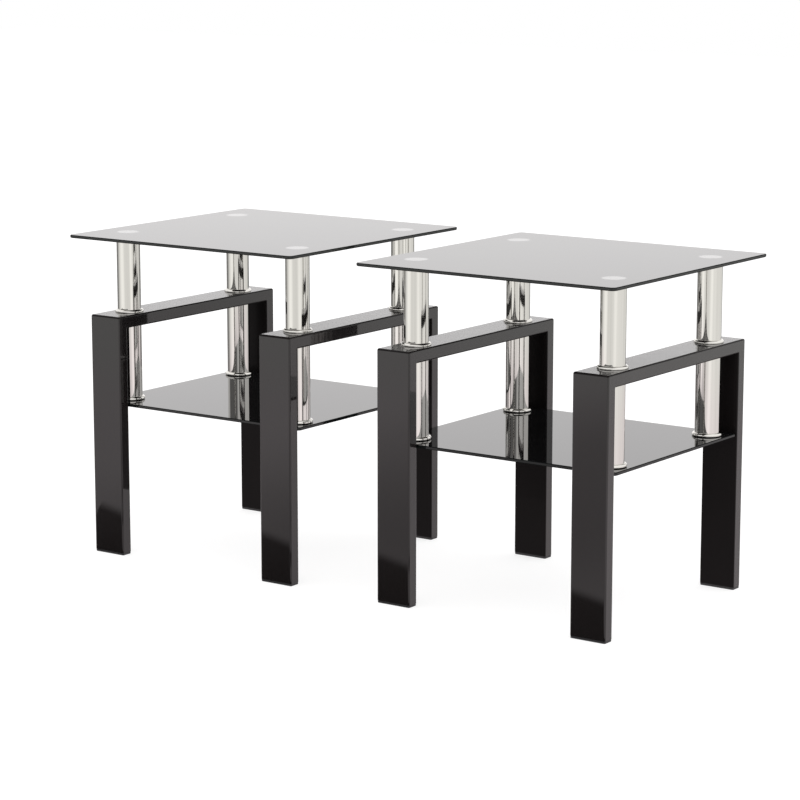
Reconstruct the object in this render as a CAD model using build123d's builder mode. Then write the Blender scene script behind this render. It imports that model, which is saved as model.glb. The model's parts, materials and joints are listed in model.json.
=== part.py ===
from build123d import *
import os

# Two matching square end tables that stand side by side. Each has a glass top, a glass
# shelf and two U-shaped frames of rectangular steel tube, clamped together by four long
# threaded rods that run down inside round steel posts. +Z is up, the front is towards -Y,
# and the origin is on the floor, midway between the two tables.

# Driving dimensions, in millimetres
TABLE_SPACING = 570.0
TABLE_HEIGHT = 522.0
TOP_SIDE = 450.0
TOP_CORNER_RADIUS = 8.0
GLASS_THICKNESS = 5.0
GLASS_ARRIS = 1.0

FRAMES_WIDTH = 405.0
FRAME_DEPTH = 400.0
FRAME_HEIGHT = 392.0
BAR_WIDTH = 60.0
BAR_THICKNESS = 20.0
BAR_WALL = 1.5
BAR_EDGE_RADIUS = 2.5
FRAME_CORNER_RADIUS = 3.2
WELD_RADIUS = 1.0

FOOT_HEIGHT = 4.0
FOOT_INSET = 0.3
FOOT_EDGE_RADIUS = 1.2
PLUG_CLEARANCE = 0.2
PLUG_LENGTH = 18.0
PLUG_WALL = 2.0

POST_DIAMETER = 38.0
POST_WALL = 1.0
POST_SPACING_Y = 280.0

COLLAR_DIAMETER = 46.0
COLLAR_HEIGHT = 4.6
COLLAR_FLOOR = 2.0
COLLAR_RIM_RADIUS = 3.2
COLLAR_BASE_CHAMFER = 0.4
COLLAR_LIP_CHAMFER = 0.3
COLLAR_BORE = 11.0
FIT_CLEARANCE = 0.1

DISC_THICKNESS = 3.0
DISC_SPIGOT_HEIGHT = 8.0
DISC_EDGE = 0.4

ROD_DIAMETER = 8.0
ROD_END_CHAMFER = 0.8
ROD_TOP_GAP = 1.0
ROD_HOLE = 9.0
THREAD_CLEARANCE = 0.04

SLEEVE_DIAMETER = 14.0
SLEEVE_BORE = 8.6
BUSH_BORE = 8.4
BUSH_HEIGHT = 8.0

SHELF_TOP_Z = 248.0
SHELF_DEPTH = 355.0
SHELF_CORNER_RADIUS = 6.0
SHELF_HOLE = 14.0
PAD_DIAMETER = 40.0
PAD_THICKNESS = 1.0

WASHER_DIAMETER = 26.0
WASHER_THICKNESS = 1.2
WASHER_SPIGOT = 13.7
NUT_HEAD_DIAMETER = 22.0
NUT_HEAD_THICKNESS = 2.4
NUT_HEAD_RADIUS = 0.9
NUT_BARREL_DIAMETER = 10.2
NUT_BARREL_LENGTH = 12.0
NUT_BARREL_BORE = 10.5
HEX_KEY = 6.0
HEX_DEPTH = 1.6

# Places that follow from the driving dimensions
TABLES = {"left_table": -TABLE_SPACING / 2, "right_table": TABLE_SPACING / 2}
POST_SPACING_X = FRAMES_WIDTH - BAR_WIDTH
POST_CORNERS = {
    "front_left": (-POST_SPACING_X / 2, -POST_SPACING_Y / 2),
    "front_right": (POST_SPACING_X / 2, -POST_SPACING_Y / 2),
    "back_left": (-POST_SPACING_X / 2, POST_SPACING_Y / 2),
    "back_right": (POST_SPACING_X / 2, POST_SPACING_Y / 2),
}
TOP_UNDERSIDE_Z = TABLE_HEIGHT - GLASS_THICKNESS
DISC_UNDERSIDE_Z = TOP_UNDERSIDE_Z - DISC_THICKNESS
BAR_UNDERSIDE_Z = FRAME_HEIGHT - BAR_THICKNESS
SHELF_UNDERSIDE_Z = SHELF_TOP_Z - GLASS_THICKNESS
LOWER_COLLAR_Z = SHELF_TOP_Z + PAD_THICKNESS
WASHER_UNDERSIDE_Z = SHELF_UNDERSIDE_Z - WASHER_THICKNESS
SPIGOT_RADIUS = POST_DIAMETER / 2 - POST_WALL - FIT_CLEARANCE

os.makedirs("parts", exist_ok=True)


def save(piece, name):
    """Names a finished piece and writes it to its own file."""
    piece.part.label = name
    export_step(piece.part, f"parts/{name}.step")


def level(table_x, z):
    """The horizontal plane at a height, centred on one table."""
    return Plane(origin=(table_x, 0, z))


def at_posts():
    """The four post axes of a table."""
    return GridLocations(POST_SPACING_X, POST_SPACING_Y, 2, 2)


def round_bars(table_x, z, height, diameter, mode=Mode.ADD):
    """Adds or cuts one upright cylinder on each post axis."""
    with BuildSketch(level(table_x, z)) as section:
        with at_posts():
            Circle(diameter / 2)
    extrude(section.sketch, amount=height, mode=mode)


# The top: one square pane with rounded corners and ground arrises.
def make_top_glass(table, table_x):
    with BuildPart() as top_glass:
        with BuildSketch(level(table_x, TOP_UNDERSIDE_Z)):
            RectangleRounded(TOP_SIDE, TOP_SIDE, TOP_CORNER_RADIUS)
        extrude(amount=GLASS_THICKNESS)
        chamfer(top_glass.faces().filter_by(Axis.Z).edges(), GLASS_ARRIS)
    save(top_glass, f"{table}_top_glass")


# The shelf: as wide as the two frames, and short enough to pass between their legs, with
# a drilled hole at each post.
def make_shelf_glass(table, table_x):
    with BuildPart() as shelf_glass:
        with BuildSketch(level(table_x, SHELF_UNDERSIDE_Z)):
            RectangleRounded(FRAMES_WIDTH, SHELF_DEPTH, SHELF_CORNER_RADIUS)
        extrude(amount=GLASS_THICKNESS)
        chamfer(shelf_glass.faces().filter_by(Axis.Z).edges(), GLASS_ARRIS)
        round_bars(table_x, SHELF_UNDERSIDE_Z, GLASS_THICKNESS, SHELF_HOLE, Mode.SUBTRACT)
    save(shelf_glass, f"{table}_shelf_glass")


# One frame: a U of rectangular tube, mitred and welded at its two top corners. It is made
# whole, hollow and open at the feet, and then cut at the mitres into the three tubes.
def make_frame(table, side, frame_x):
    side_x = frame_x - BAR_WIDTH / 2
    side_view = Plane(origin=(side_x, 0, FOOT_HEIGHT), x_dir=(0, 1, 0), z_dir=(1, 0, 0))
    bar_top = Plane(origin=(frame_x, 0, FRAME_HEIGHT))
    with BuildPart() as frame:
        with BuildSketch(side_view) as outline:
            Rectangle(FRAME_DEPTH, FRAME_HEIGHT - FOOT_HEIGHT, align=(Align.CENTER, Align.MIN))
            Rectangle(
                FRAME_DEPTH - 2 * BAR_THICKNESS,
                BAR_UNDERSIDE_Z - FOOT_HEIGHT,
                align=(Align.CENTER, Align.MIN),
                mode=Mode.SUBTRACT,
            )
            fillet(outline.vertices().group_by(Axis.Y)[-2], WELD_RADIUS)
            fillet(outline.vertices().group_by(Axis.Y)[-1], FRAME_CORNER_RADIUS)
        extrude(amount=BAR_WIDTH)
        side_edges = frame.faces().filter_by(Axis.X).edges()
        fillet(side_edges - side_edges.group_by(Axis.Z)[0], BAR_EDGE_RADIUS)
        offset(amount=-BAR_WALL, openings=frame.faces().group_by(Axis.Z)[0])
        with BuildSketch(bar_top):
            with GridLocations(0, POST_SPACING_Y, 1, 2):
                Circle(ROD_HOLE / 2)
        extrude(amount=-BAR_THICKNESS, mode=Mode.SUBTRACT)

    inner_corner_y = FRAME_DEPTH / 2 - BAR_THICKNESS
    front_mitre = Plane(origin=(frame_x, -inner_corner_y, BAR_UNDERSIDE_Z), z_dir=(0, 1, 1))
    back_mitre = Plane(origin=(frame_x, inner_corner_y, BAR_UNDERSIDE_Z), z_dir=(0, -1, 1))

    with BuildPart() as crossbar:
        add(frame.part)
        split(bisect_by=front_mitre, keep=Keep.TOP)
        split(bisect_by=back_mitre, keep=Keep.TOP)
    save(crossbar, f"{table}_{side}_crossbar")

    for end, mitre, half in (
        ("front", front_mitre, Plane(origin=(frame_x, 0, 0), z_dir=(0, -1, 0))),
        ("back", back_mitre, Plane(origin=(frame_x, 0, 0), z_dir=(0, 1, 0))),
    ):
        with BuildPart() as leg:
            add(frame.part)
            split(bisect_by=half, keep=Keep.TOP)
            split(bisect_by=mitre, keep=Keep.BOTTOM)
        save(leg, f"{table}_{side}_{end}_leg")


# The feet: moulded plugs pushed into the open ends of the legs, each with a thin foot that
# the table stands on and a hollow spigot inside the tube.
def make_foot_plugs(table, table_x):
    leg_spacing_y = FRAME_DEPTH - BAR_THICKNESS
    foot_width = BAR_WIDTH - 2 * FOOT_INSET
    foot_depth = BAR_THICKNESS - 2 * FOOT_INSET
    spigot_width = BAR_WIDTH - 2 * (BAR_WALL + PLUG_CLEARANCE)
    spigot_depth = BAR_THICKNESS - 2 * (BAR_WALL + PLUG_CLEARANCE)
    spigot_radius = BAR_EDGE_RADIUS - BAR_WALL
    with BuildPart() as foot_plugs:
        with BuildSketch(level(table_x, 0)):
            with GridLocations(POST_SPACING_X, leg_spacing_y, 2, 2):
                RectangleRounded(foot_width, foot_depth, BAR_EDGE_RADIUS)
        extrude(amount=FOOT_HEIGHT)
        fillet(foot_plugs.faces().group_by(Axis.Z)[0].edges(), FOOT_EDGE_RADIUS)
        with BuildSketch(level(table_x, FOOT_HEIGHT)):
            with GridLocations(POST_SPACING_X, leg_spacing_y, 2, 2):
                RectangleRounded(spigot_width, spigot_depth, spigot_radius)
                Rectangle(spigot_width - 2 * PLUG_WALL, spigot_depth - 2 * PLUG_WALL, mode=Mode.SUBTRACT)
        extrude(amount=PLUG_LENGTH)
    save(foot_plugs, f"{table}_foot_plugs")


# The posts: thin round tube, an upper length from the frame to the top and a lower one,
# on the same axis, from the frame down to the shelf.
def make_posts(table, table_x):
    for tier, bottom_z, top_z in (
        ("upper", FRAME_HEIGHT + COLLAR_FLOOR, DISC_UNDERSIDE_Z),
        ("lower", LOWER_COLLAR_Z + COLLAR_FLOOR, BAR_UNDERSIDE_Z),
    ):
        for corner, (post_x, post_y) in POST_CORNERS.items():
            with BuildPart() as post:
                with BuildSketch(Plane(origin=(table_x + post_x, post_y, bottom_z))):
                    Circle(POST_DIAMETER / 2)
                    Circle(POST_DIAMETER / 2 - POST_WALL, mode=Mode.SUBTRACT)
                extrude(amount=top_z - bottom_z)
            save(post, f"{table}_{tier}_post_{corner}")


# The collars: turned cup rings with a domed rim, which each post stands in.
def make_collars(table, table_x):
    for tier, base_z in (("upper", FRAME_HEIGHT), ("lower", LOWER_COLLAR_Z)):
        with BuildPart() as collars:
            round_bars(table_x, base_z, COLLAR_HEIGHT, COLLAR_DIAMETER)
            fillet(collars.faces().group_by(Axis.Z)[-1].edges(), COLLAR_RIM_RADIUS)
            chamfer(collars.faces().group_by(Axis.Z)[0].edges(), COLLAR_BASE_CHAMFER)
            recess = POST_DIAMETER + 2 * FIT_CLEARANCE
            round_bars(table_x, base_z + COLLAR_FLOOR, COLLAR_HEIGHT, recess, Mode.SUBTRACT)
            lip = collars.faces().group_by(Axis.Z)[-1].edges().filter_by(GeomType.CIRCLE)
            chamfer(lip.sort_by(Edge.length)[: len(POST_CORNERS)], COLLAR_LIP_CHAMFER)
            round_bars(table_x, base_z, COLLAR_FLOOR, COLLAR_BORE, Mode.SUBTRACT)
        save(collars, f"{table}_{tier}_collars")


# The discs bonded under the top: as wide as the posts, with a spigot inside the tube and a
# tapped bore for the rod.
def make_glass_discs(table, table_x):
    with BuildPart() as glass_discs:
        round_bars(table_x, DISC_UNDERSIDE_Z, DISC_THICKNESS, POST_DIAMETER)
        chamfer(glass_discs.faces().group_by(Axis.Z)[-1].edges(), DISC_EDGE)
        spigot_z = DISC_UNDERSIDE_Z - DISC_SPIGOT_HEIGHT
        round_bars(table_x, spigot_z, DISC_SPIGOT_HEIGHT, 2 * SPIGOT_RADIUS)
        bore = ROD_DIAMETER + 2 * THREAD_CLEARANCE
        bore_depth = DISC_SPIGOT_HEIGHT + DISC_THICKNESS - ROD_TOP_GAP
        round_bars(table_x, spigot_z, bore_depth, bore, Mode.SUBTRACT)
    save(glass_discs, f"{table}_glass_discs")


# The rods: one long stud inside each pair of posts, from the bonded disc to the shelf.
def make_threaded_rods(table, table_x):
    rod_bottom_z = SHELF_UNDERSIDE_Z
    rod_top_z = TOP_UNDERSIDE_Z - ROD_TOP_GAP
    with BuildPart() as threaded_rods:
        round_bars(table_x, rod_bottom_z, rod_top_z - rod_bottom_z, ROD_DIAMETER)
        chamfer(threaded_rods.edges().filter_by(GeomType.CIRCLE), ROD_END_CHAMFER)
    save(threaded_rods, f"{table}_threaded_rods")


# The sleeves inside the crossbars, which keep the rods from crushing the tube.
def make_spacer_sleeves(table, table_x):
    sleeve_z = BAR_UNDERSIDE_Z + BAR_WALL
    sleeve_length = BAR_THICKNESS - 2 * BAR_WALL
    with BuildPart() as spacer_sleeves:
        round_bars(table_x, sleeve_z, sleeve_length, SLEEVE_DIAMETER)
        round_bars(table_x, sleeve_z, sleeve_length, SLEEVE_BORE, Mode.SUBTRACT)
    save(spacer_sleeves, f"{table}_spacer_sleeves")


# The bushes that centre the top end of each lower post on its rod.
def make_post_bushes(table, table_x):
    bush_z = BAR_UNDERSIDE_Z - BUSH_HEIGHT
    with BuildPart() as post_bushes:
        round_bars(table_x, bush_z, BUSH_HEIGHT, 2 * SPIGOT_RADIUS)
        round_bars(table_x, bush_z, BUSH_HEIGHT, BUSH_BORE, Mode.SUBTRACT)
    save(post_bushes, f"{table}_post_bushes")


# The soft pads between the lower collars and the shelf.
def make_shelf_pads(table, table_x):
    with BuildPart() as shelf_pads:
        round_bars(table_x, SHELF_TOP_Z, PAD_THICKNESS, PAD_DIAMETER)
        round_bars(table_x, SHELF_TOP_Z, PAD_THICKNESS, SHELF_HOLE, Mode.SUBTRACT)
    save(shelf_pads, f"{table}_shelf_pads")


# The flanged washers under the shelf, whose spigots line the holes in the glass.
def make_shelf_washers(table, table_x):
    with BuildPart() as shelf_washers:
        round_bars(table_x, WASHER_UNDERSIDE_Z, WASHER_THICKNESS, WASHER_DIAMETER)
        round_bars(table_x, SHELF_UNDERSIDE_Z, GLASS_THICKNESS, WASHER_SPIGOT)
        washer_height = WASHER_THICKNESS + GLASS_THICKNESS
        round_bars(table_x, WASHER_UNDERSIDE_Z, washer_height, NUT_BARREL_BORE, Mode.SUBTRACT)
    save(shelf_washers, f"{table}_shelf_washers")


# The cap nuts: flat-headed barrel nuts, driven by a hexagon key from below, that take the
# lower ends of the rods.
def make_cap_nuts(table, table_x):
    head_z = WASHER_UNDERSIDE_Z - NUT_HEAD_THICKNESS
    with BuildPart() as cap_nuts:
        round_bars(table_x, head_z, NUT_HEAD_THICKNESS, NUT_HEAD_DIAMETER)
        fillet(cap_nuts.faces().group_by(Axis.Z)[0].edges(), NUT_HEAD_RADIUS)
        round_bars(table_x, WASHER_UNDERSIDE_Z, NUT_BARREL_LENGTH, NUT_BARREL_DIAMETER)
        bore = ROD_DIAMETER + 2 * THREAD_CLEARANCE
        round_bars(table_x, WASHER_UNDERSIDE_Z, NUT_BARREL_LENGTH, bore, Mode.SUBTRACT)
        with BuildSketch(level(table_x, head_z)):
            with at_posts():
                RegularPolygon(HEX_KEY / 2, 6, major_radius=False)
        extrude(amount=HEX_DEPTH, mode=Mode.SUBTRACT)
    save(cap_nuts, f"{table}_cap_nuts")


for table_name, table_centre_x in TABLES.items():
    make_top_glass(table_name, table_centre_x)
    make_shelf_glass(table_name, table_centre_x)
    make_frame(table_name, "left", table_centre_x - POST_SPACING_X / 2)
    make_frame(table_name, "right", table_centre_x + POST_SPACING_X / 2)
    make_foot_plugs(table_name, table_centre_x)
    make_posts(table_name, table_centre_x)
    make_collars(table_name, table_centre_x)
    make_glass_discs(table_name, table_centre_x)
    make_threaded_rods(table_name, table_centre_x)
    make_spacer_sleeves(table_name, table_centre_x)
    make_post_bushes(table_name, table_centre_x)
    make_shelf_pads(table_name, table_centre_x)
    make_shelf_washers(table_name, table_centre_x)
    make_cap_nuts(table_name, table_centre_x)
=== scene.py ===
import json
import math
import bmesh
import bpy
from mathutils import Matrix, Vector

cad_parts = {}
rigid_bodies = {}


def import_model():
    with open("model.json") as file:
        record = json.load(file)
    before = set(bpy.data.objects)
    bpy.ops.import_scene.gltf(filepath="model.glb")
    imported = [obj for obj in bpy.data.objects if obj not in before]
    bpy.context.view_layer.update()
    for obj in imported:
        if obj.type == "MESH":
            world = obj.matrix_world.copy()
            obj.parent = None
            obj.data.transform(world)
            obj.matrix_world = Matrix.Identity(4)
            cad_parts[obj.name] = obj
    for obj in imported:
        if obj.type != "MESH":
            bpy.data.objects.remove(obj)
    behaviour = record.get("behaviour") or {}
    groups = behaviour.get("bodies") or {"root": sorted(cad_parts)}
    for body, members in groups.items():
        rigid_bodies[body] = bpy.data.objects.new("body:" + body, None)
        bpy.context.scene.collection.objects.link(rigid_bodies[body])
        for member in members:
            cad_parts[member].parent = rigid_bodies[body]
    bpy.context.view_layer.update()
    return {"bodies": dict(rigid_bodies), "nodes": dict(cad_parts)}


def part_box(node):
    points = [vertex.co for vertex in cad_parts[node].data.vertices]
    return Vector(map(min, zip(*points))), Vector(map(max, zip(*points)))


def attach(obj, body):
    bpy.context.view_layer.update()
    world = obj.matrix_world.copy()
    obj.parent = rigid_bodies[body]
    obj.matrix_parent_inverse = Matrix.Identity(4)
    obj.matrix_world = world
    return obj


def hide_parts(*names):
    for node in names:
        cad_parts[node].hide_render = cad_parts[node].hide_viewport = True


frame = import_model()
scene = bpy.context.scene
scene.view_settings.view_transform = "Standard"

# ---------------------------------------------------------------- camera
# A long lens at twice the height of the tables, off the front right corner of the pair,
# so that both tops are seen at a low angle and the uprights stay almost parallel.
camera_data = bpy.data.cameras.new("camera")
camera_data.lens = 124.34
camera_data.sensor_width = 36.0
camera_data.clip_end = 60.0
camera = bpy.data.objects.new("camera", camera_data)
camera.location = (2.4813, -3.4921, 1.0759)
camera_turn = math.radians(35.587)
camera_tilt = math.radians(10.604)
camera.rotation_euler = (math.pi / 2 - camera_tilt, 0.0, camera_turn)
scene.collection.objects.link(camera)
scene.camera = camera


# ---------------------------------------------------------------- studio
# A white room: a pale floor, and a plain white dome that only the lens sees. The light is
# an even warm white from the whole sky. The gloss mirrors it, and a dark band that lies
# low in it from the left round to the front.
class Socket:
    """An output of a node. Arithmetic on it adds Math nodes to the same tree."""

    def __init__(self, tree, source=None):
        self.tree = tree
        self.source = source

    def node(self, kind, settings=(), inputs=(), out=0):
        """Adds any node: its settings first, then the values or links of its inputs."""
        made = self.tree.nodes.new(kind)
        for name, value in dict(settings).items():
            if name == "stops":
                ramp = made.color_ramp.elements
                for place, colour in value[1:-1]:
                    ramp.new(place).color = colour
                ramp[0].position, ramp[0].color = value[0]
                ramp[-1].position, ramp[-1].color = value[-1]
            else:
                setattr(made, name, value)
        for name, value in dict(inputs).items():
            if isinstance(value, Socket):
                self.tree.links.new(value.source, made.inputs[name])
            else:
                made.inputs[name].default_value = value
        return Socket(self.tree, made.outputs[out] if made.outputs else None)

    def maths(self, operation, *values):
        return self.node("ShaderNodeMath", {"operation": operation}, dict(enumerate(values)))

    def __add__(self, other):
        return self.maths("ADD", self, other)

    def __radd__(self, other):
        return self.maths("ADD", other, self)

    def __sub__(self, other):
        return self.maths("SUBTRACT", self, other)

    def __rsub__(self, other):
        return self.maths("SUBTRACT", other, self)

    def __mul__(self, other):
        return self.maths("MULTIPLY", self, other)

    def __rmul__(self, other):
        return self.maths("MULTIPLY", other, self)

    def __truediv__(self, other):
        return self.maths("DIVIDE", self, other)

    def __gt__(self, other):
        return self.maths("GREATER_THAN", self, other)

    def __lt__(self, other):
        return self.maths("LESS_THAN", self, other)

    def size(self):
        return self.maths("ABSOLUTE", self)

    def root(self):
        return self.maths("SQRT", self)

    def wave(self):
        return self.maths("SINE", self)

    def most(self, other):
        return self.maths("MAXIMUM", self, other)

    def xyz(self):
        """The three parts of a vector."""
        parts = self.node("ShaderNodeSeparateXYZ", {}, {"Vector": self})
        owner = parts.source.node
        return [Socket(self.tree, owner.outputs[axis]) for axis in "XYZ"]

    def step(self, low, high):
        """0 below low, 1 above high and a smooth ramp between them."""
        ramp = {"interpolation_type": "SMOOTHSTEP"}
        return self.node("ShaderNodeMapRange", ramp, {"Value": self, "From Min": low, "From Max": high})

    def blend(self, first, second):
        """Mixes two colours by this value."""
        mix = {"data_type": "RGBA"}
        return self.node("ShaderNodeMix", mix, {0: self, 6: first, 7: second}, out=2)


def new_finish(name):
    """A new material and the start of its node tree."""
    material = bpy.data.materials.new(name)
    material.use_nodes = True
    material.node_tree.nodes.clear()
    return material, Socket(material.node_tree)


def surface(start, shader):
    start.node("ShaderNodeOutputMaterial", {}, {"Surface": shader})


def colour(red, green, blue):
    return (red, green, blue, 1.0)


def add_piece(name, mesh):
    piece = bpy.data.objects.new(name, mesh)
    scene.collection.objects.link(piece)
    return piece


def lens_only(piece):
    """Shows a stage piece to the lens and hides it from light and mirrors."""
    piece.visible_diffuse = False
    piece.visible_glossy = False
    piece.visible_transmission = False
    piece.visible_shadow = False


dome_shape = bmesh.new()
bmesh.ops.create_uvsphere(dome_shape, u_segments=48, v_segments=24, radius=20.0)
dome_mesh = bpy.data.meshes.new("studio_dome")
dome_shape.to_mesh(dome_mesh)
dome_shape.free()
dome = add_piece("studio_dome", dome_mesh)
lens_only(dome)
dome_white, start = new_finish("dome_white")
surface(start, start.node("ShaderNodeEmission", {}, {"Color": colour(1, 1, 1), "Strength": 1.0}))
dome_mesh.materials.append(dome_white)

floor_half = 12.0
floor_drop = 0.0003
floor_mesh = bpy.data.meshes.new("studio_floor")
floor_corners = [
    (-floor_half, -floor_half, -floor_drop),
    (floor_half, -floor_half, -floor_drop),
    (floor_half, floor_half, -floor_drop),
    (-floor_half, floor_half, -floor_drop),
]
floor_mesh.from_pydata(floor_corners, [], [(0, 1, 2, 3)])
floor = add_piece("studio_floor", floor_mesh)
floor_white, start = new_finish("floor_white")
floor_glow = start.node("ShaderNodeEmission", {}, {"Color": colour(1, 1, 1), "Strength": 0.79})
floor_paint = start.node("ShaderNodeBsdfDiffuse", {}, {"Color": colour(0.33, 0.33, 0.33)})
surface(start, start.node("ShaderNodeAddShader", {}, {0: floor_glow, 1: floor_paint}))
floor_mesh.materials.append(floor_white)


def round_angle(x, y):
    """The direction of a place seen from the middle, from -0.5 to 0.5 of a turn: 0 is the front."""
    return x.maths("ARCTAN2", x, 0 - y) / math.tau


world = bpy.data.worlds.new("studio_light")
world.use_nodes = True
world.node_tree.nodes.clear()
scene.world = world
start = Socket(world.node_tree)
sky_x, sky_y, sky_z = start.node("ShaderNodeTexCoord", out="Generated").xyz()
front = round_angle(sky_x, sky_y)
band_height = sky_z.step(0.07, 0.11) * (1 - sky_z.step(0.20, 0.23))
band_width = front.step(-0.23, -0.17) * (1 - front.step(0.04, 0.09))
sky_white = colour(1.0, 0.985, 0.985)
sky_strength = 1.27
strength = sky_strength - band_height * band_width
sky = start.node("ShaderNodeBackground", {}, {"Color": sky_white, "Strength": strength})
start.node("ShaderNodeOutputWorld", {}, {"Surface": sky})


def mirrors_only(piece):
    """Shows a stage piece to the glass, the paint and the steel, and to nothing else."""
    piece.visible_camera = False
    piece.visible_diffuse = False
    piece.visible_shadow = False


# The floor as the glass, the paint and the steel mirror it. It is dark on the left and
# behind, which draws the outlines of the posts, and has two light places in front with
# grey between them. Under the tables it is even, and a grey patch lies before them.
mirror_floor_mesh = bpy.data.meshes.new("mirror_floor")
rim_steps = 64
rim_turns = [math.tau * i / rim_steps for i in range(rim_steps)]
rim = [(floor_half * math.cos(turn), floor_half * math.sin(turn), -floor_drop) for turn in rim_turns]
mirror_floor_mesh.from_pydata(rim, [], [tuple(range(rim_steps))])
mirror_floor = add_piece("mirror_floor", mirror_floor_mesh)
mirrors_only(mirror_floor)
floor.visible_glossy = False
mirror_tone, start = new_finish("mirror_floor")
floor_x, floor_y = start.node("ShaderNodeTexCoord", out="Object").xyz()[:2]
brightest = 1.3
tones = (
    (0.00, 0.18), (0.26, 0.20), (0.32, 0.66), (0.37, 0.88), (0.405, 0.98), (0.44, 0.95), (0.48, 0.76),
    (0.56, 0.72), (0.60, 0.76), (0.635, 0.94), (0.66, 0.95), (0.70, 0.82), (0.82, 0.77), (0.95, 0.70),
    (1.00, 0.18),
)
stops = [(turn, colour(tone, tone, tone)) for turn, tone in tones]
around = round_angle(floor_x, floor_y) + 0.5
ring = start.node("ShaderNodeValToRGB", {"stops": stops}, {"Fac": around}) * brightest
away = (floor_x * floor_x + floor_y * floor_y).root()
under_table = 1 - away.step(0.45, 1.3)
under_tone = 0.88
patch_depth = 0.34
patch_x = (floor_x + 0.10) * 1.5
patch_y = floor_y + 1.05
patch = 1 - (patch_x * patch_x + patch_y * patch_y).root().step(0.3, 1.3)
level = (ring * (1 - under_table) + under_table * under_tone) * (1 - patch * patch_depth)
warm = away.step(1.5, 2.7).blend(colour(1.0, 0.93, 0.945), colour(1.0, 0.99, 0.965))
surface(start, start.node("ShaderNodeEmission", {}, {"Color": warm, "Strength": level}))
mirror_floor_mesh.materials.append(mirror_tone)


# Black flags lie on the floor before the front legs, as painted shadow that only mirrors see:
# they give the legs their dark lower ends, a painted reflection of shade. Each runs from its leg to the
# front and the left.
def add_shadow_flag(name, points):
    """A painted-shadow flag from rows of two corners, the nearest first. It fades out at its last row.
    """
    mesh = bpy.data.meshes.new(name)
    faces = [(i, i + 1, i + 3, i + 2) for i in range(0, len(points) - 2, 2)]
    mesh.from_pydata(points, [], faces)
    cover = mesh.attributes.new("cover", "FLOAT", "POINT")
    for i in range(len(points)):
        cover.data[i].value = 0.0 if i >= len(points) - 2 else 1.0
    shadow_flag = add_piece(name, mesh)
    mirrors_only(shadow_flag)
    shadow_cloth, start = new_finish(name)
    shadow_solid = start.node("ShaderNodeAttribute", {"attribute_name": "cover"}, {}, out="Fac").step(0.0, 1.0)
    clear = start.node("ShaderNodeBsdfTransparent")
    # The flag's near-black glow is painted shadow for the legs to mirror.
    painted_shadow = start.node("ShaderNodeEmission", {}, {"Color": colour(0.02, 0.02, 0.02), "Strength": 1.0})
    surface(start, start.node("ShaderNodeMixShader", {}, {0: shadow_solid, 1: clear, 2: painted_shadow}))
    mesh.materials.append(shadow_cloth)


shadow_flag_lift = 0.0005
for table in frame["bodies"]:
    for side in ("left", "right"):
        low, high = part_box(f"{table}_{side}_front_leg")
        corners = (
            (low.x - 0.02, low.y - 0.002, shadow_flag_lift),
            (high.x + 0.03, low.y - 0.002, shadow_flag_lift),
            (low.x - 0.20, low.y - 0.23, shadow_flag_lift),
            (high.x - 0.07, low.y - 0.155, shadow_flag_lift),
            (low.x - 0.25, low.y - 0.30, shadow_flag_lift),
            (high.x - 0.12, low.y - 0.225, shadow_flag_lift),
        )
        add_shadow_flag(f"{table}_{side}_leg_shadow_flag", corners)


# ---------------------------------------------------------------- frames
# Two U frames to a table, of 60 by 20 mm rectangular steel tube, mitred, welded, ground
# flush and coated with gloss black. The coat is glossiest on the upright outer faces,
# less so on level ones, and thin inside the U and on the rounded corners.
def make_black_paint():
    material, start = new_finish("black_paint_finish")
    place = start.node("ShaderNodeTexCoord", out="Object")
    y = place.xyz()[1]
    ny, nz = start.node("ShaderNodeTexCoord", out="Normal").xyz()[1:]
    level = nz.size().step(0.90, 0.99)
    upright = 1 - nz.size().step(0.05, 0.35)
    inside = (ny * y < 0.0) * (ny.size() > 0.5)
    level_gloss = 0.76
    least_gloss = 0.03
    gloss = upright.most(level * level_gloss) * (1 - inside)
    peel = start.node("ShaderNodeTexNoise", {}, {"Vector": place, "Scale": 700.0, "Detail": 2.0})
    cloud = start.node("ShaderNodeTexNoise", {}, {"Vector": place, "Scale": 9.0, "Detail": 5.0})
    dust = start.node("ShaderNodeTexNoise", {}, {"Vector": place, "Scale": 2200.0, "Detail": 1.0})
    tone = cloud.blend(colour(0.0050, 0.0040, 0.0040), colour(0.0080, 0.0062, 0.0062))
    speck_height = 0.6
    height = peel + dust.step(0.72, 0.80) * speck_height
    bump = start.node("ShaderNodeBump", {}, {"Height": height, "Distance": 0.0002, "Strength": 0.07})
    paint = {
        "Base Color": tone,
        "Roughness": 0.35 + cloud * 0.1,
        "Specular IOR Level": 0.06,
        "Coat Weight": gloss * (1 - least_gloss) + least_gloss,
        "Coat Roughness": 0.035,
        "Coat IOR": 1.5,
        "Normal": bump,
    }
    surface(start, start.node("ShaderNodeBsdfPrincipled", {}, paint))
    return material


def dress(name, material):
    """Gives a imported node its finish."""
    for slot in frame["nodes"][name].material_slots:
        slot.material = material


black_paint = make_black_paint()
for table in frame["bodies"]:
    for side in ("left", "right"):
        for tube in ("crossbar", "front_leg", "back_leg"):
            dress(f"{table}_{side}_{tube}", black_paint)


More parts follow.
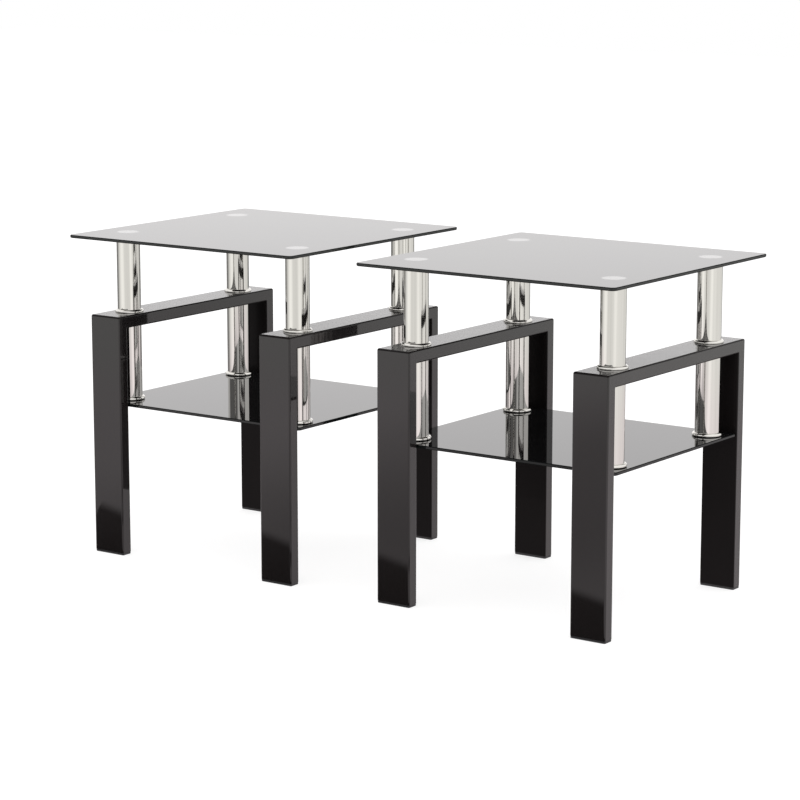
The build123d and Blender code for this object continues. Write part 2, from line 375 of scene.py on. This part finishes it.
# ---------------------------------------------------------------- feet
# Black polypropylene plugs, injection moulded with a fine spark-eroded texture and pushed
# into the open ends of the legs. Only the thin foot shows, scuffed where it slides.
def make_black_plastic():
    material, start = new_finish("black_plastic_finish")
    place = start.node("ShaderNodeTexCoord", out="Object")
    z = place.xyz()[2]
    grain = start.node("ShaderNodeTexNoise", {}, {"Vector": place, "Scale": 1900.0, "Detail": 3.0})
    wear = start.node("ShaderNodeTexNoise", {}, {"Vector": place, "Scale": 260.0, "Detail": 4.0})
    scuff = (1 - z.step(0.0002, 0.0016)) * wear.step(0.45, 0.62)
    tone = scuff.blend(colour(0.012, 0.012, 0.013), colour(0.045, 0.044, 0.043))
    bump = start.node("ShaderNodeBump", {}, {"Height": grain, "Distance": 0.0002, "Strength": 0.35})
    plastic = {"Base Color": tone, "Roughness": 0.42 + scuff * 0.3 + grain * 0.08, "Normal": bump}
    surface(start, start.node("ShaderNodeBsdfPrincipled", {}, plastic))
    return material


black_plastic = make_black_plastic()
for table in frame["bodies"]:
    dress(f"{table}_foot_plugs", black_plastic)


# ---------------------------------------------------------------- posts
# Round posts of 38 mm stainless tube with a 1 mm wall, drawn and then polished lengthways
# on a belt, which leaves faint streaks along them.
def make_polished_steel():
    material, start = new_finish("polished_steel_finish")
    place = start.node("ShaderNodeTexCoord", out="Object")
    stretch = start.node("ShaderNodeMapping", {}, {"Vector": place, "Scale": (260.0, 260.0, 2.0)})
    streaks = start.node("ShaderNodeTexNoise", {}, {"Vector": stretch, "Scale": 1.0, "Detail": 3.0})
    tone = streaks.step(0.3, 0.7).blend(colour(0.64, 0.63, 0.60), colour(0.685, 0.675, 0.645))
    bump = start.node("ShaderNodeBump", {}, {"Height": streaks, "Distance": 0.0003, "Strength": 0.002})
    steel = {"Base Color": tone, "Metallic": 1.0, "Roughness": 0.03 + streaks * 0.05, "Normal": bump}
    surface(start, start.node("ShaderNodeBsdfPrincipled", {}, steel))
    return material


def turn_blank(name, profile, steps=120, crease=28.0):
    """Turns a closed profile of (radius, height) points about Z, with its corners kept sharp."""
    shape = bmesh.new()
    rings = []
    for i in range(steps):
        turn = math.tau * i / steps
        rings.append([shape.verts.new((r * math.cos(turn), r * math.sin(turn), z)) for r, z in profile])
    count = len(profile)
    for i in range(steps):
        here, there = rings[i], rings[(i + 1) % steps]
        for j in range(count):
            k = (j + 1) % count
            if profile[j][0] > 0.0 or profile[k][0] > 0.0:
                shape.faces.new((here[j], there[j], there[k], here[k]))
    bmesh.ops.remove_doubles(shape, verts=shape.verts, dist=1e-7)
    bmesh.ops.dissolve_degenerate(shape, edges=shape.edges, dist=1e-7)
    bmesh.ops.recalc_face_normals(shape, faces=shape.faces)
    for face in shape.faces:
        face.smooth = True
    for edge in shape.edges:
        edge.smooth = edge.calc_face_angle(0.0) < math.radians(crease)
    mesh = bpy.data.meshes.new(name)
    shape.to_mesh(mesh)
    shape.free()
    return mesh


polished_steel = make_polished_steel()
tube_wall = 0.0010
cut_edge = 0.0002
for table in frame["bodies"]:
    for tier in ("upper", "lower"):
        for corner in ("front_left", "front_right", "back_left", "back_right"):
            node = f"{table}_{tier}_post_{corner}"
            low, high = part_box(node)
            outer = (high.x - low.x) / 2
            inner = outer - tube_wall
            profile = [(inner, low.z), (outer - cut_edge, low.z), (outer, low.z + cut_edge)]
            profile += [(outer, high.z - cut_edge), (outer - cut_edge, high.z), (inner, high.z)]
            tube = turn_blank(node, profile, 240)
            tube.transform(Matrix.Translation(((low.x + high.x) / 2, (low.y + high.y) / 2, 0.0)))
            tube.materials.append(polished_steel)
            post = add_piece(f"{node}_made", tube)
            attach(post, table)
            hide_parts(node)


# ---------------------------------------------------------------- collars
# Cup rings turned from stainless bar, with a domed rim and a recess that the post stands
# in, polished on the lathe. One sits at the foot of every post.
def post_axes(table):
    """The middle of a table along X and the spacing of its post axes along X and Y."""
    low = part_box(f"{table}_upper_post_front_left")[0]
    far_low, far_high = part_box(f"{table}_upper_post_back_right")
    return (low.x + far_high.x) / 2, far_low.x - low.x, far_low.y - low.y


def round_size(node, table):
    """The outer radius, the bottom and the top of a node of four like round pieces."""
    low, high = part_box(node)
    spacing_x = post_axes(table)[1]
    return (high.x - low.x - spacing_x) / 2, low.z, high.z


def arc(centre, radius, first, last, steps=10):
    """Points of a rounded corner in a profile, from one angle to another in degrees."""
    turns = [math.radians(first + (last - first) * i / steps) for i in range(steps + 1)]
    return [(centre[0] + radius * math.cos(t), centre[1] + radius * math.sin(t)) for t in turns]


def new_geometry_tree(name, sizes):
    """A Geometry Nodes tree with named inputs, and the start of it."""
    tree = bpy.data.node_groups.new(name, "GeometryNodeTree")
    tree.interface.new_socket("Blank", in_out="INPUT", socket_type="NodeSocketGeometry")
    for size_name in sizes:
        tree.interface.new_socket(size_name, in_out="INPUT", socket_type="NodeSocketFloat")
    tree.interface.new_socket("Finish", in_out="INPUT", socket_type="NodeSocketMaterial")
    tree.interface.new_socket("Pieces", in_out="OUTPUT", socket_type="NodeSocketGeometry")
    return tree, Socket(tree)


def given(start, name):
    return start.node("NodeGroupInput", out=name)


def set_on_axes(start, blank):
    """Ends a tree: puts a blank on the four post axes and gives it its finish."""
    size = {"Size X": given(start, "Spacing X"), "Size Y": given(start, "Spacing Y")}
    grid = start.node("GeometryNodeMeshGrid", {}, {**size, "Vertices X": 2, "Vertices Y": 2})
    middle = start.node("ShaderNodeCombineXYZ", {}, {"X": given(start, "Table X")})
    axes = start.node("GeometryNodeTransform", {}, {"Geometry": grid, "Translation": middle})
    four = start.node("GeometryNodeInstanceOnPoints", {}, {"Points": axes, "Instance": blank})
    real = start.node("GeometryNodeRealizeInstances", {}, {"Geometry": four})
    finished = {"Geometry": real, "Material": given(start, "Finish")}
    done = start.node("GeometryNodeSetMaterial", {}, finished)
    start.node("NodeGroupOutput", {}, {"Pieces": done})


axis_sizes = ("Spacing X", "Spacing Y", "Table X")
four_of_a_kind, start = new_geometry_tree("four of a kind", axis_sizes)
set_on_axes(start, given(start, "Blank"))


def fit_four(node, table, blank, material, tree=four_of_a_kind, sizes=()):
    """Makes the four pieces of one node from a blank and puts them in the node's place."""
    middle_x, spacing_x, spacing_y = post_axes(table)
    values = {"Spacing X": spacing_x, "Spacing Y": spacing_y, "Table X": middle_x, "Finish": material}
    values.update(sizes)
    worker = add_piece(f"{node}_blank", blank)
    step = worker.modifiers.new(tree.name, "NODES")
    step.node_group = tree
    for port in tree.interface.items_tree:
        if port.name in values:
            step[port.identifier] = values[port.name]
    whole = worker.evaluated_get(bpy.context.evaluated_depsgraph_get())
    piece = add_piece(f"{node}_made", bpy.data.meshes.new_from_object(whole))
    bpy.data.objects.remove(worker)
    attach(piece, table)
    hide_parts(node)


middle_x, spacing_x, spacing_y = post_axes("right_table")
table_x = abs(middle_x)
post_x = spacing_x / 2
post_y = spacing_y / 2


def off_axis(place):
    """The distance of a place from the nearest post axis."""
    x, y = place.xyz()[:2]
    off_x = (x.size() - table_x).size() - post_x
    off_y = y.size() - post_y
    return (off_x * off_x + off_y * off_y).root()


def lathe_rings(place):
    """The fine rings that a lathe tool leaves round each axis, from 0 to 1."""
    z = place.xyz()[2]
    ring_rate = 9000.0
    return ((off_axis(place) + z) * ring_rate).wave() * 0.5 + 0.5


def make_turned_steel():
    material, start = new_finish("turned_steel_finish")
    place = start.node("ShaderNodeTexCoord", out="Object")
    rings = lathe_rings(place)
    haze = start.node("ShaderNodeTexNoise", {}, {"Vector": place, "Scale": 140.0, "Detail": 3.0})
    tone = haze.blend(colour(0.62, 0.61, 0.575), colour(0.69, 0.68, 0.645))
    bump = start.node("ShaderNodeBump", {}, {"Height": rings, "Distance": 0.0001, "Strength": 0.02})
    steel = {"Base Color": tone, "Metallic": 1.0, "Roughness": 0.05 + haze * 0.08, "Normal": bump}
    surface(start, start.node("ShaderNodeBsdfPrincipled", {}, steel))
    return material


turned_steel = make_turned_steel()
for table in frame["bodies"]:
    for tier in ("upper", "lower"):
        node = f"{table}_{tier}_collars"
        outer, low_z, high_z = round_size(node, table)
        rod_bore = 0.0055
        foot_edge = 0.0004
        rim_radius = 0.0032
        recess = outer - 0.0039
        recess_edge = 0.0003
        recess_z = low_z + 0.0020
        profile = [(rod_bore, low_z), (outer - foot_edge, low_z), (outer, low_z + foot_edge)]
        profile += arc((outer - rim_radius, high_z - rim_radius), rim_radius, 0, 90)
        profile += [(recess + recess_edge, high_z), (recess, high_z - recess_edge)]
        profile += [(recess, recess_z), (rod_bore, recess_z)]
        fit_four(node, table, turn_blank(node, profile), turned_steel)


# ---------------------------------------------------------------- discs under the glass
# Steel discs faced on a lathe and bonded under the top with clear ultraviolet glue. Each
# has a spigot that fills the top of its post and a tapped blind hole for the rod.
def make_satin_steel():
    material, start = new_finish("satin_steel_finish")
    rings = lathe_rings(start.node("ShaderNodeTexCoord", out="Object"))
    tone = rings.blend(colour(0.60, 0.60, 0.60), colour(0.74, 0.74, 0.74))
    bump = start.node("ShaderNodeBump", {}, {"Height": rings, "Distance": 0.0001, "Strength": 0.10})
    steel = {"Base Color": tone, "Metallic": 1.0, "Roughness": 0.24 + rings * 0.08, "Normal": bump}
    surface(start, start.node("ShaderNodeBsdfPrincipled", {}, steel))
    return material


satin_steel = make_satin_steel()
for table in frame["bodies"]:
    node = f"{table}_glass_discs"
    outer, low_z, high_z = round_size(node, table)
    rim_height = 0.0030
    shoulder_z = high_z - rim_height
    spigot_step = 0.0011
    spigot = outer - spigot_step
    bore = 0.00404
    bore_cover = 0.0010
    bore_end_z = high_z - bore_cover
    edge = 0.0004
    profile = [(bore, low_z), (spigot - edge, low_z), (spigot, low_z + edge), (spigot, shoulder_z)]
    profile += [(outer, shoulder_z), (outer, high_z - edge), (outer - edge, high_z), (0.0, high_z)]
    profile += [(0.0, bore_end_z), (bore, bore_end_z)]
    fit_four(node, table, turn_blank(node, profile), satin_steel)


# ---------------------------------------------------------------- rods
# One M8 rod of zinc-plated steel to each pair of posts, with a thread rolled along its
# whole length and its ends chamfered. It clamps the posts, the frame and the shelf.
def make_zinc_plate():
    material, start = new_finish("zinc_plate_finish")
    place = start.node("ShaderNodeTexCoord", out="Object")
    spangle = start.node("ShaderNodeTexVoronoi", {}, {"Vector": place, "Scale": 420.0}, out="Distance")
    cloud = start.node("ShaderNodeTexNoise", {}, {"Vector": place, "Scale": 60.0, "Detail": 4.0})
    tone = cloud.step(0.35, 0.65).blend(colour(0.56, 0.58, 0.61), colour(0.64, 0.64, 0.62))
    bump = start.node("ShaderNodeBump", {}, {"Height": spangle, "Distance": 0.0001, "Strength": 0.06})
    zinc = {"Base Color": tone, "Metallic": 1.0, "Roughness": 0.26 + cloud * 0.16, "Normal": bump}
    surface(start, start.node("ShaderNodeBsdfPrincipled", {}, zinc))
    return material


thread_sizes = ("Outer Radius", "Thread Depth", "Pitch", "Length", "Middle Z", "End Chamfer")
threaded_rod, start = new_geometry_tree("threaded rod", axis_sizes + thread_sizes)
steps_round = 16
steps_a_pitch = 4
pitches = given(start, "Length") / given(start, "Pitch")
wall_size = {"Size X": 1.0, "Size Y": given(start, "Length"), "Vertices X": steps_round + 1}
wall = start.node("GeometryNodeMeshGrid", {}, {**wall_size, "Vertices Y": pitches * steps_a_pitch + 2})
round_share, along = start.node("GeometryNodeInputPosition").xyz()[:2]
phase = start.maths("FRACT", along / given(start, "Pitch") - round_share)
depth = (1 - (phase * 2 - 1).size()) * given(start, "Thread Depth")
to_end = given(start, "Length") / 2 - along.size()
chamfer_radius = given(start, "Outer Radius") - given(start, "End Chamfer") + to_end
radius = start.maths("MINIMUM", given(start, "Outer Radius") - depth, chamfer_radius) * (to_end > 1e-6)
turn = round_share * math.tau
spot = {
    "X": radius * start.maths("COSINE", turn),
    "Y": radius * turn.wave(),
    "Z": along + given(start, "Middle Z"),
}
spot_on_rod = start.node("ShaderNodeCombineXYZ", {}, spot)
rolled = start.node("GeometryNodeSetPosition", {}, {"Geometry": wall, "Position": spot_on_rod})
closed = start.node("GeometryNodeMergeByDistance", {}, {"Geometry": rolled, "Distance": 1e-6})
set_on_axes(start, closed)

zinc_plate = make_zinc_plate()
pitch = 0.00125
thread_depth = pitch * 0.6134
end_chamfer = 0.0008
for table in frame["bodies"]:
    node = f"{table}_threaded_rods"
    outer, low_z, high_z = round_size(node, table)
    sizes = {
        "Outer Radius": outer,
        "Thread Depth": thread_depth,
        "Pitch": pitch,
        "Length": high_z - low_z,
        "Middle Z": (high_z + low_z) / 2,
        "End Chamfer": end_chamfer,
    }
    empty_blank = bpy.data.meshes.new(node)
    fit_four(node, table, empty_blank, zinc_plate, threaded_rod, sizes)


# ---------------------------------------------------------------- spacer sleeves
# Short lengths of zinc-plated tube, cut square and deburred, that stand on the rods inside
# the crossbars so that the nuts can be pulled tight without crushing the frame.
for table in frame["bodies"]:
    node = f"{table}_spacer_sleeves"
    outer, low_z, high_z = round_size(node, table)
    bore = 0.0043
    burr = 0.0002
    profile = [(bore + burr, low_z), (outer - burr, low_z), (outer, low_z + burr)]
    profile += [(outer, high_z - burr), (outer - burr, high_z), (bore + burr, high_z)]
    profile += [(bore, high_z - burr), (bore, low_z + burr)]
    fit_four(node, table, turn_blank(node, profile, 72), zinc_plate)


# ---------------------------------------------------------------- bushes and washers
# Natural nylon, injection moulded. The bushes centre the lower posts on the rods. The
# washers line the holes in the shelf, so that no steel touches the glass.
def make_nylon():
    material, start = new_finish("nylon_finish")
    place = start.node("ShaderNodeTexCoord", out="Object")
    flow = start.node("ShaderNodeTexNoise", {}, {"Vector": place, "Scale": 90.0, "Detail": 3.0})
    grain = start.node("ShaderNodeTexNoise", {}, {"Vector": place, "Scale": 1500.0, "Detail": 2.0})
    tone = flow.step(0.35, 0.65).blend(colour(0.66, 0.64, 0.57), colour(0.73, 0.71, 0.65))
    bump = start.node("ShaderNodeBump", {}, {"Height": grain, "Distance": 0.0001, "Strength": 0.2})
    nylon = {"Base Color": tone, "Roughness": 0.40 + grain * 0.12, "Normal": bump}
    surface(start, start.node("ShaderNodeBsdfPrincipled", {}, nylon))
    return material


nylon = make_nylon()
moulded_edge = 0.0003
for table in frame["bodies"]:
    node = f"{table}_post_bushes"
    outer, low_z, high_z = round_size(node, table)
    bore = 0.0042
    profile = [(bore, low_z), (outer - moulded_edge, low_z), (outer, low_z + moulded_edge)]
    profile += [(outer, high_z - moulded_edge), (outer - moulded_edge, high_z), (bore, high_z)]
    fit_four(node, table, turn_blank(node, profile), nylon)

    node = f"{table}_shelf_washers"
    outer, low_z, high_z = round_size(node, table)
    bore = 0.00525
    spigot = 0.00685
    flange_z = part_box(f"{table}_shelf_glass")[0].z
    profile = [(bore, low_z), (outer - moulded_edge, low_z), (outer, low_z + moulded_edge)]
    profile += [(outer, flange_z), (spigot, flange_z), (spigot, high_z), (bore, high_z)]
    fit_four(node, table, turn_blank(node, profile), nylon)


# ---------------------------------------------------------------- shelf pads
# Rings punched from 1 mm black foam rubber, which lie under the lower collars and spread
# their load on the glass.
def make_foam_rubber():
    material, start = new_finish("foam_rubber_finish")
    place = start.node("ShaderNodeTexCoord", out="Object")
    cells = start.node("ShaderNodeTexVoronoi", {}, {"Vector": place, "Scale": 2400.0}, out="Distance")
    tone = cells.step(0.0, 0.6).blend(colour(0.018, 0.018, 0.018), colour(0.036, 0.036, 0.036))
    bump = start.node("ShaderNodeBump", {}, {"Height": cells, "Distance": 0.0002, "Strength": 0.5})
    rubber = {"Base Color": tone, "Roughness": 0.75 + cells * 0.15, "Normal": bump}
    surface(start, start.node("ShaderNodeBsdfPrincipled", {}, rubber))
    return material


foam_rubber = make_foam_rubber()
for table in frame["bodies"]:
    node = f"{table}_shelf_pads"
    outer, low_z, high_z = round_size(node, table)
    hole = 0.0070
    profile = [(hole, low_z), (outer, low_z), (outer, high_z), (hole, high_z)]
    fit_four(node, table, turn_blank(node, profile), foam_rubber)


# ---------------------------------------------------------------- cap nuts
# Flat-headed barrel nuts, turned from steel with a hexagon socket pressed in the head, and
# black zinc plated. They close the assembly from under the shelf.
def make_black_zinc():
    material, start = new_finish("black_zinc_finish")
    place = start.node("ShaderNodeTexCoord", out="Object")
    rings = lathe_rings(place)
    cloud = start.node("ShaderNodeTexNoise", {}, {"Vector": place, "Scale": 300.0, "Detail": 4.0})
    tone = cloud.step(0.35, 0.7).blend(colour(0.030, 0.030, 0.034), colour(0.060, 0.058, 0.060))
    bump = start.node("ShaderNodeBump", {}, {"Height": rings, "Distance": 0.0001, "Strength": 0.08})
    plate = {"Base Color": tone, "Metallic": 0.9, "Roughness": 0.30 + cloud * 0.15, "Normal": bump}
    surface(start, start.node("ShaderNodeBsdfPrincipled", {}, plate))
    return material


black_zinc = make_black_zinc()
for table in frame["bodies"]:
    dress(f"{table}_cap_nuts", black_zinc)


# ---------------------------------------------------------------- glass top and shelf
# Tempered float glass, 5 mm thick, painted black behind, with its edges ground flat and
# polished and its arrises left matt. The steel discs under the top show as paler spots.
def make_black_glass():
    material, start = new_finish("black_glass_finish")
    place = start.node("ShaderNodeTexCoord", out="Object")
    z = place.xyz()[2]
    nz = start.node("ShaderNodeTexCoord", out="Normal").xyz()[2]
    pane = nz.size().step(0.80, 0.95)
    upright = 1 - nz.size().step(0.10, 0.30)

    disc_radius = round_size("right_table_glass_discs", "right_table")[0]
    over_disc = 1 - off_axis(place).step(disc_radius - 0.004, disc_radius + 0.001)
    above_shelf = z > 0.5
    clear_spot = over_disc * above_shelf
    disc_tone = lathe_rings(place).blend(colour(0.26, 0.26, 0.26), colour(0.32, 0.32, 0.32))

    cloud = start.node("ShaderNodeTexNoise", {}, {"Vector": place, "Scale": 7.0, "Detail": 4.0})
    black = cloud.blend(colour(0.005, 0.005, 0.0055), colour(0.009, 0.009, 0.0095))
    edge = cloud.blend(colour(0.003, 0.004, 0.004), colour(0.006, 0.007, 0.007))
    tone = pane.blend(edge, clear_spot.blend(black, disc_tone))

    grind = start.node("ShaderNodeMapping", {}, {"Vector": place, "Scale": (40.0, 40.0, 9000.0)})
    lines = start.node("ShaderNodeTexNoise", {}, {"Vector": grind, "Scale": 1.0, "Detail": 2.0})
    wave = start.node("ShaderNodeTexNoise", {}, {"Vector": place, "Scale": 5.0, "Detail": 1.0})
    line_depth = 0.02
    wave_depth = 0.04
    height = lines * (1 - pane) * line_depth + wave * wave_depth
    bump = start.node("ShaderNodeBump", {}, {"Height": height, "Distance": 0.001, "Strength": 0.2})
    edge_gloss = 0.75
    least_gloss = 0.03
    gloss = pane.most(upright * edge_gloss)
    glass = {
        "Base Color": tone,
        "Roughness": 0.5,
        "Specular IOR Level": 0.0,
        "Coat Weight": gloss * (1 - least_gloss) + least_gloss,
        "Coat Roughness": 0.02,
        "Coat IOR": 1.5,
        "Normal": bump,
    }
    surface(start, start.node("ShaderNodeBsdfPrincipled", {}, glass))
    return material


black_glass = make_black_glass()
for table in frame["bodies"]:
    dress(f"{table}_top_glass", black_glass)
    dress(f"{table}_shelf_glass", black_glass)
